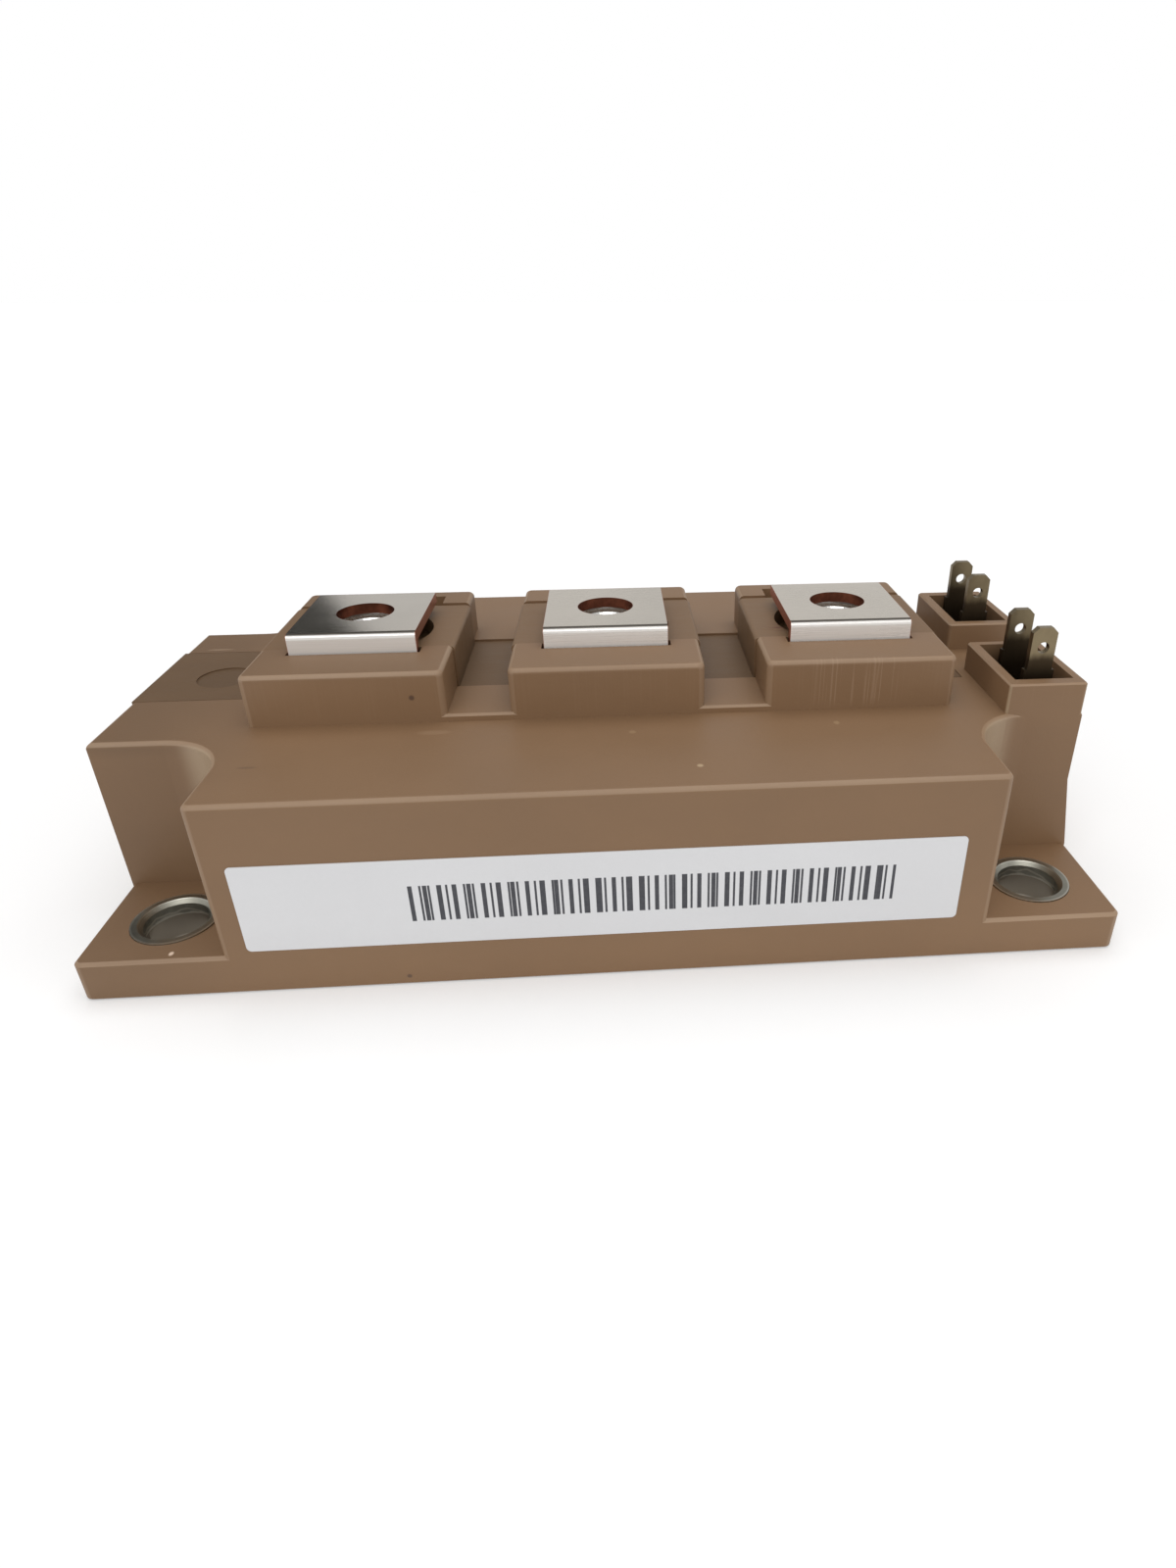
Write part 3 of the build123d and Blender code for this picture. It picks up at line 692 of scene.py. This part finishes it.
class MODULE_OT_collars(bpy.types.Operator):
    """Dark worked steel of the collars, with painted highlights at the lips of the rim, and bright at the
    foot
    """

    bl_idname = "module.collars"
    bl_label = "Mounting collars"

    def execute(self, context):
        looks = context.scene.module_looks
        graph = Graph("worked steel collar")
        place = graph.place()
        x, y, z = graph.axes(place)
        top = collar_high.z / mm
        bottom = collar_low.z / mm
        outside = (collar_high.x - collar_low.x) / mm / 2
        ragged = graph.noise(place, (1.4, 1.4, 0.8), detail=3.0)
        turned = graph.noise(place, (3, 3, 0.1), detail=2.0)
        rim = graph.step(z + ragged * 0.12, top - 0.06, top + 0.02)
        wall = graph.fall(z, top - 0.5, top - 0.25)
        foot = graph.fall(z - ragged * 0.9, bottom - 0.35, bottom - 0.15)

        # A pale crease wanders round the wall, and painted highlights make only the rim's two edges bright
        wave = graph.noise(place, (2.2, 2.2, 4), detail=1.0)
        crease = graph.fall(abs(z + wave * 1.6 - top + 0.35), 0.04, 0.16)
        radius = graph.radius(abs(x) - abs(collar_middle.x) / mm, abs(y) - abs(collar_middle.y) / mm)
        outer_lip = graph.step(radius, outside - 0.25, outside - 0.08)
        inner_lip = graph.fall(radius, collar_mouth_radius - 0.15, collar_mouth_radius + 0.05)
        lip_highlight = graph.most(outer_lip, inner_lip)
        colour = graph.shade(looks.collar, 0.55 + ragged * 0.5 + turned * 0.25 - wall * 0.12)
        colour = graph.mix(crease * wall * 0.7, colour, (0.50, 0.47, 0.40))
        colour = graph.mix(rim * lip_highlight * 0.8, colour, (0.62, 0.60, 0.53))
        colour = graph.mix(foot * 0.8, colour, (0.55, 0.52, 0.45))
        material = graph.surface(
            Base_Color=colour,
            Metallic=1.0,
            Roughness=0.3 + turned * 0.2 - rim * 0.08,
            Normal=graph.bump(turned, 0.02 * mm),
        )
        paint(material, *collars)
        return {"FINISHED"}


class MODULE_OT_tabs(bpy.types.Operator):
    """Dull tin on the control tabs, with painted shade towards the socket and on the three tabs behind the
    front one
    """

    bl_idname = "module.tabs"
    bl_label = "Control tabs"

    def execute(self, context):
        looks = context.scene.module_looks
        graph = Graph("tinned tab")
        place = graph.place()
        y, z = graph.axes(place, "YZ")
        clouds = graph.noise(place, (0.9, 0.9, 1.6), detail=3.0)
        rolled = graph.noise(place, (0.1, 0.1, 4), detail=2.0)
        # Painted shade: the tabs get darker down towards the socket
        socket_shade = graph.fall(z + clouds * 0.8, 27.2, 28.4)

        # Painted shade darkens the three tabs behind the one nearest the front
        rear_tabs_shade = graph.step(y, -11, -9)
        colour = graph.shade(looks.tab, 0.85 + clouds * 0.3 + rolled * 0.06 - rear_tabs_shade * 0.15)
        colour = graph.mix(socket_shade * 0.85, colour, (0.035, 0.022, 0.013))
        material = graph.surface(
            Base_Color=colour,
            Metallic=1.0,
            Roughness=0.3 + rolled * 0.12 + socket_shade * 0.12,
            Normal=graph.bump(rolled, 0.004 * mm),
        )
        paint(material, *tabs)
        return {"FINISHED"}


class MODULE_OT_label(bpy.types.Operator):
    """White sticker with a row of plain bars that stand for no code"""

    bl_idname = "module.label"
    bl_label = "Label"

    bars_from: bpy.props.FloatProperty(
        name="Bars from", description="Left end of the bars", unit="LENGTH", default=-20.5 * mm
    )
    bars_to: bpy.props.FloatProperty(
        name="Bars to", description="Right end of the bars", unit="LENGTH", default=28.5 * mm
    )
    bars_height: bpy.props.FloatProperty(
        name="Bars height", description="Height of the bars", unit="LENGTH", default=4.2 * mm
    )
    bars_drop: bpy.props.FloatProperty(
        name="Bars drop",
        description="How far the bars stand below the label's middle",
        unit="LENGTH",
        default=0.1 * mm,
    )
    corner: bpy.props.FloatProperty(
        name="Corner", description="Radius of the sticker's corners", unit="LENGTH", default=0.5 * mm
    )

    def sticker(self):
        """The sticker, its four short edges rounded less than those of the CAD one that it replaces."""
        size = label_high - label_low
        bm = bmesh.new()
        box = Matrix.Translation((label_low + label_high) / 2) @ Matrix.Diagonal((*size, 1.0))
        bmesh.ops.create_cube(bm, size=1.0, matrix=box)
        short = [edge for edge in bm.edges if abs(edge.verts[0].co.y - edge.verts[1].co.y) > size.y / 2]
        bmesh.ops.bevel(
            bm, geom=short, offset=self.corner, segments=6, profile=0.5, affect="EDGES", material=-1
        )
        piece = new_piece("label_sticker", bm)
        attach(piece, "root")
        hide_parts("label")
        return piece

    def execute(self, context):
        looks = context.scene.module_looks
        graph = Graph("paper label")
        place = graph.place()
        x, z = graph.axes(place, "XZ")
        bars_z = ((label_low.z + label_high.z) / 2 - self.bars_drop) / mm
        half_height = self.bars_height / mm / 2
        along = graph.band(x, self.bars_from / mm - 0.02, self.bars_to / mm + 0.02, 0.04)
        up = graph.fall(abs(z - bars_z), half_height - 0.03, half_height + 0.03)

        # Two regular rows of strokes beat against each other, so the bars differ in width and say nothing
        wide = graph.fall(graph.off_centre(x, 1.42), 0.20, 0.23)
        narrow = graph.fall(graph.off_centre(x, 0.86), 0.10, 0.12)
        bars = graph.most(wide, narrow) * along * up

        fibres = graph.noise(place, (0.4, 0.4, 0.4), detail=3.0)
        clouds = graph.noise(place, (14, 14, 6))
        colour = graph.shade(looks.paper, 0.95 + clouds * 0.07 + fibres * 0.03)
        colour = graph.mix(bars * (0.93 + fibres * 0.07), colour, looks.ink)
        material = graph.surface(
            Base_Color=colour,
            Roughness=0.5 + fibres * 0.1 - bars * 0.1,
            Normal=graph.bump(fibres, 0.006 * mm),
            Specular_IOR_Level=0.4,
        )
        paint(material, self.sticker())
        return {"FINISHED"}


class MODULE_OT_base_plate(bpy.types.Operator):
    """Nickel plated base plate with a fine rolled grain, with painted shade above its underside and in its
    holes
    """

    bl_idname = "module.base_plate"
    bl_label = "Base plate"

    def execute(self, context):
        looks = context.scene.module_looks
        graph = Graph("plated base plate")
        place = graph.place()
        (z,) = graph.axes(place, "Z")
        rolled = graph.noise(place, (30, 0.15, 0.15), detail=2.0)
        clouds = graph.noise(place, (16, 10, 4), detail=3.0)
        stains = graph.step(graph.noise(place, (5, 5, 5), detail=4.0), 0.60, 0.72)
        inside = graph.step(z, 0.15, 0.5)
        colour = graph.shade(looks.plating, 0.84 + clouds * 0.2 + rolled * 0.06)
        colour = graph.mix(stains * 0.25, colour, (0.32, 0.27, 0.20))
        # Painted shade above the underside and in the holes
        colour = graph.mix(inside * 0.85, colour, (0.20, 0.17, 0.13))
        material = graph.surface(
            Base_Color=colour,
            Metallic=1.0,
            Roughness=0.26 + rolled * 0.1 + stains * 0.1,
            Normal=graph.bump(rolled, 0.004 * mm),
        )
        paint(material, "base_plate")
        return {"FINISHED"}


class MODULE_OT_circuit(bpy.types.Operator):
    """Finishes of the hidden tiles, copper, chips, bonds and gel"""

    bl_idname = "module.circuit"
    bl_label = "Circuit"

    def execute(self, context):
        looks = context.scene.module_looks

        graph = Graph("white ceramic")
        place = graph.place()
        grain = graph.noise(place, (0.2, 0.2, 0.2), detail=3.0)
        clouds = graph.noise(place, (7, 7, 7))
        ceramic = graph.surface(
            Base_Color=graph.shade((0.86, 0.86, 0.83), 0.92 + clouds * 0.08 + grain * 0.04),
            Roughness=0.5 + grain * 0.15,
            Normal=graph.bump(grain, 0.006 * mm),
        )
        paint(ceramic, "substrate_low", "substrate_high")

        graph = Graph("bare copper")
        place = graph.place()
        clouds = graph.noise(place, (5, 5, 3), detail=4.0)
        etched = graph.noise(place, (0.3, 0.3, 0.3), detail=3.0)
        tarnish = graph.step(clouds, 0.5, 0.75)
        bright = graph.shade(looks.copper, 0.9 + etched * 0.15)
        copper = graph.surface(
            Base_Color=graph.mix(tarnish * 0.45, bright, (0.30, 0.11, 0.07)),
            Metallic=1.0,
            Roughness=0.28 + etched * 0.14 + tarnish * 0.14,
            Normal=graph.bump(etched, 0.004 * mm),
        )
        leads = [f"control_lead_{number}" for number in range(1, 5)]
        areas = [f"substrate_{layer}_{tile}" for layer in ("backing", "copper") for tile in ("low", "high")]
        paint(copper, "bridge_link", *areas, *leads)

        graph = Graph("metallised silicon")
        place = graph.place()
        (y,) = graph.axes(place, "Y")
        runners = graph.fall(graph.off_centre(y, 1.8), 0.05, 0.08)
        film = graph.noise(place, (2, 2, 2), detail=2.0)
        metal = graph.shade(looks.silicon, 0.85 + film * 0.3)
        silicon = graph.surface(
            Base_Color=graph.mix(runners * 0.7, metal, (0.05, 0.06, 0.09)),
            Metallic=0.8,
            Roughness=0.16 + film * 0.1,
            Normal=graph.bump(runners, -0.01 * mm),
        )
        chips = [f"{kind}_chip_{number}" for kind in ("transistor", "diode") for number in range(1, 5)]
        paint(silicon, *chips)

        graph = Graph("aluminium bond")
        place = graph.place()
        drawn = graph.noise(place, (2, 0.06, 2), detail=2.0)
        bonds = graph.surface(
            Base_Color=graph.shade((0.80, 0.80, 0.81), 0.86 + drawn * 0.2),
            Metallic=1.0,
            Roughness=0.24 + drawn * 0.14,
            Normal=graph.bump(drawn, 0.004 * mm),
        )
        ribbons = [f"bond_ribbons_{number}" for number in range(1, 5)]
        paint(bonds, "signal_bonds_low", "signal_bonds_high", *ribbons)

        graph = Graph("silicone gel")
        place = graph.place()
        ripples = graph.noise(place, (11, 11, 11), detail=1.0)
        gel = graph.surface(
            Base_Color=graph.shade((0.88, 0.89, 0.86), 0.94 + ripples * 0.08),
            Roughness=0.06 + ripples * 0.06,
            Normal=graph.bump(ripples, 0.3 * mm),
            Transmission_Weight=0.6,
            IOR=1.41,
        )
        paint(gel, "gel")
        return {"FINISHED"}


class MODULE_OT_stage(bpy.types.Operator):
    """Pale floor, soft lights and the camera at the photograph's place"""

    bl_idname = "module.stage"
    bl_label = "Stage"

    def floor(self, settings):
        """A pale floor that keeps the shadow near the module and fades to white away from it."""
        bm = bmesh.new()
        bmesh.ops.create_grid(bm, x_segments=1, y_segments=1, size=3.0)
        floor = new_piece("floor", bm)
        graph = Graph("pale floor")
        seen_by_camera = graph.add("ShaderNodeLightPath")
        x, y = graph.axes(graph.place(), "XY")
        away = graph.step(graph.radius(x, y), 90, 420)
        graph.surface(
            Base_Color=settings.floor,
            Roughness=0.9,
            Specular_IOR_Level=0.1,
            Emission_Color=graph.mix(away, (0.2, 0.2, 0.2), (1.0, 1.0, 1.0)),
            Emission_Strength=seen_by_camera * 0.9,
        )
        paint(graph.material, floor)
        floor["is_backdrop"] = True

    def flag(self):
        """A dark card behind the module that only polished faces pick up: it shows in the left terminal."""
        bm = bmesh.new()
        # Its corners along X and Z: the lower edge slopes so that the reflection ends along a slant
        outline = [
            (-0.450, 0.100),
            (-0.1355, 0.100),
            (-0.0690, 0.210),
            (0.000, 0.300),
            (0.450, 0.300),
            (0.450, 0.600),
            (-0.450, 0.600),
        ]
        bm.faces.new([bm.verts.new((x, 0.300, z)) for x, z in outline])
        card = new_piece("dark_card", bm)
        graph = Graph("dark card")
        graph.surface(Base_Color=(0.045, 0.045, 0.043), Roughness=0.9)
        paint(graph.material, card)
        card.visible_camera = False
        card.visible_diffuse = False
        card.visible_shadow = False
        card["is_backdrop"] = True

    def soft_light(self, name, place, aim, size, power):
        """A rectangular area light that shines at a point."""
        light = bpy.data.lights.new(name, "AREA")
        light.shape = "RECTANGLE"
        light.size, light.size_y = size
        light.energy = power
        lamp = bpy.data.objects.new(name, light)
        lamp.location = place
        lamp.rotation_euler = (Vector(aim) - Vector(place)).to_track_quat("-Z", "Y").to_euler()
        bpy.context.scene.collection.objects.link(lamp)

    def surroundings(self, settings):
        """White for the camera, a soft grey room for the light, and a brighter one for reflections."""
        world = bpy.data.worlds.new("studio")
        world.use_nodes = True
        bpy.context.scene.world = world
        tree = world.node_tree
        background = tree.nodes["Background"]
        path = tree.nodes.new("ShaderNodeLightPath")
        sees_backdrop = tree.nodes.new("ShaderNodeMath")
        sees_backdrop.operation = "MAXIMUM"
        tree.links.new(path.outputs["Is Camera Ray"], sees_backdrop.inputs[0])
        tree.links.new(path.outputs["Is Transmission Ray"], sees_backdrop.inputs[1])
        glossy = tree.nodes.new("ShaderNodeMapRange")
        glossy.inputs["To Min"].default_value = settings.ambient
        glossy.inputs["To Max"].default_value = settings.mirrored
        tree.links.new(path.outputs["Is Glossy Ray"], glossy.inputs["Value"])

        # The Mix node's inputs: 0 is the factor, 2 the room that it starts from, 3 the white backdrop
        strength = tree.nodes.new("ShaderNodeMix")
        strength.inputs[3].default_value = 1.0
        tree.links.new(sees_backdrop.outputs[0], strength.inputs[0])
        tree.links.new(glossy.outputs[0], strength.inputs[2])
        tree.links.new(strength.outputs[0], background.inputs["Strength"])
        background.inputs["Color"].default_value = (1.0, 1.0, 1.0, 1.0)

    def camera(self, settings):
        """The camera, level, with the lens shift of the cropped photograph."""
        data = bpy.data.cameras.new("camera")
        data.sensor_width = 36.0
        data.lens = settings.lens
        data.shift_x, data.shift_y = settings.shift
        data.clip_start = 1 * mm
        camera = bpy.data.objects.new("camera", data)
        place = Vector(settings.camera_place)
        camera.location = place
        camera.rotation_euler = (Vector(settings.camera_aim) - place).to_track_quat("-Z", "Y").to_euler()
        bpy.context.scene.collection.objects.link(camera)
        bpy.context.scene.camera = camera

    def execute(self, context):
        settings = context.scene.module_stage
        context.scene.view_settings.view_transform = "Standard"
        self.floor(settings)
        self.flag()
        self.surroundings(settings)
        self.soft_light("overhead", (0.05, 0.12, 0.62), (0, 0, 0.02), (0.7, 0.45), settings.overhead)
        self.soft_light("front", (-0.1, -0.55, 0.60), (0, 0, 0.01), (0.8, 0.4), settings.front)
        for name, x in (("left", -0.7), ("right", 0.7)):
            self.soft_light(name, (x, -0.35, 0.16), (0, 0, 0.01), (0.5, 0.25), settings.sides)
        self.camera(settings)
        return {"FINISHED"}


piece_operators = (
    MODULE_OT_housing,
    MODULE_OT_lid,
    MODULE_OT_terminals,
    MODULE_OT_nuts,
    MODULE_OT_collars,
    MODULE_OT_tabs,
    MODULE_OT_label,
    MODULE_OT_base_plate,
    MODULE_OT_circuit,
    MODULE_OT_stage,
)


class MODULE_PT_sidebar(bpy.types.Panel):
    """Lists the module's operators."""

    bl_idname = "MODULE_PT_sidebar"
    bl_label = "Power module"
    bl_space_type = "VIEW_3D"
    bl_region_type = "UI"
    bl_category = "Power module"

    def draw(self, context):
        for operator in piece_operators:
            self.layout.operator(operator.bl_idname)


classes = (ModuleLooks, ModuleStage, *piece_operators, MODULE_PT_sidebar)


def register():
    for cls in classes:
        bpy.utils.register_class(cls)
    bpy.types.Scene.module_looks = bpy.props.PointerProperty(type=ModuleLooks)
    bpy.types.Scene.module_stage = bpy.props.PointerProperty(type=ModuleStage)


def unregister():
    del bpy.types.Scene.module_stage
    del bpy.types.Scene.module_looks
    for cls in reversed(classes):
        bpy.utils.unregister_class(cls)


def main():
    register()
    bpy.ops.module.housing()
    bpy.ops.module.lid()
    bpy.ops.module.terminals()
    bpy.ops.module.nuts()
    bpy.ops.module.collars()
    bpy.ops.module.tabs()
    bpy.ops.module.label()
    bpy.ops.module.base_plate()
    bpy.ops.module.circuit()
    bpy.ops.module.stage()
    sizes = {"cad": cad_bounds, "visual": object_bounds()}
    sizes = {name: [[float(number) for number in corner] for corner in box] for name, box in sizes.items()}


if __name__ == "__main__":
    main()
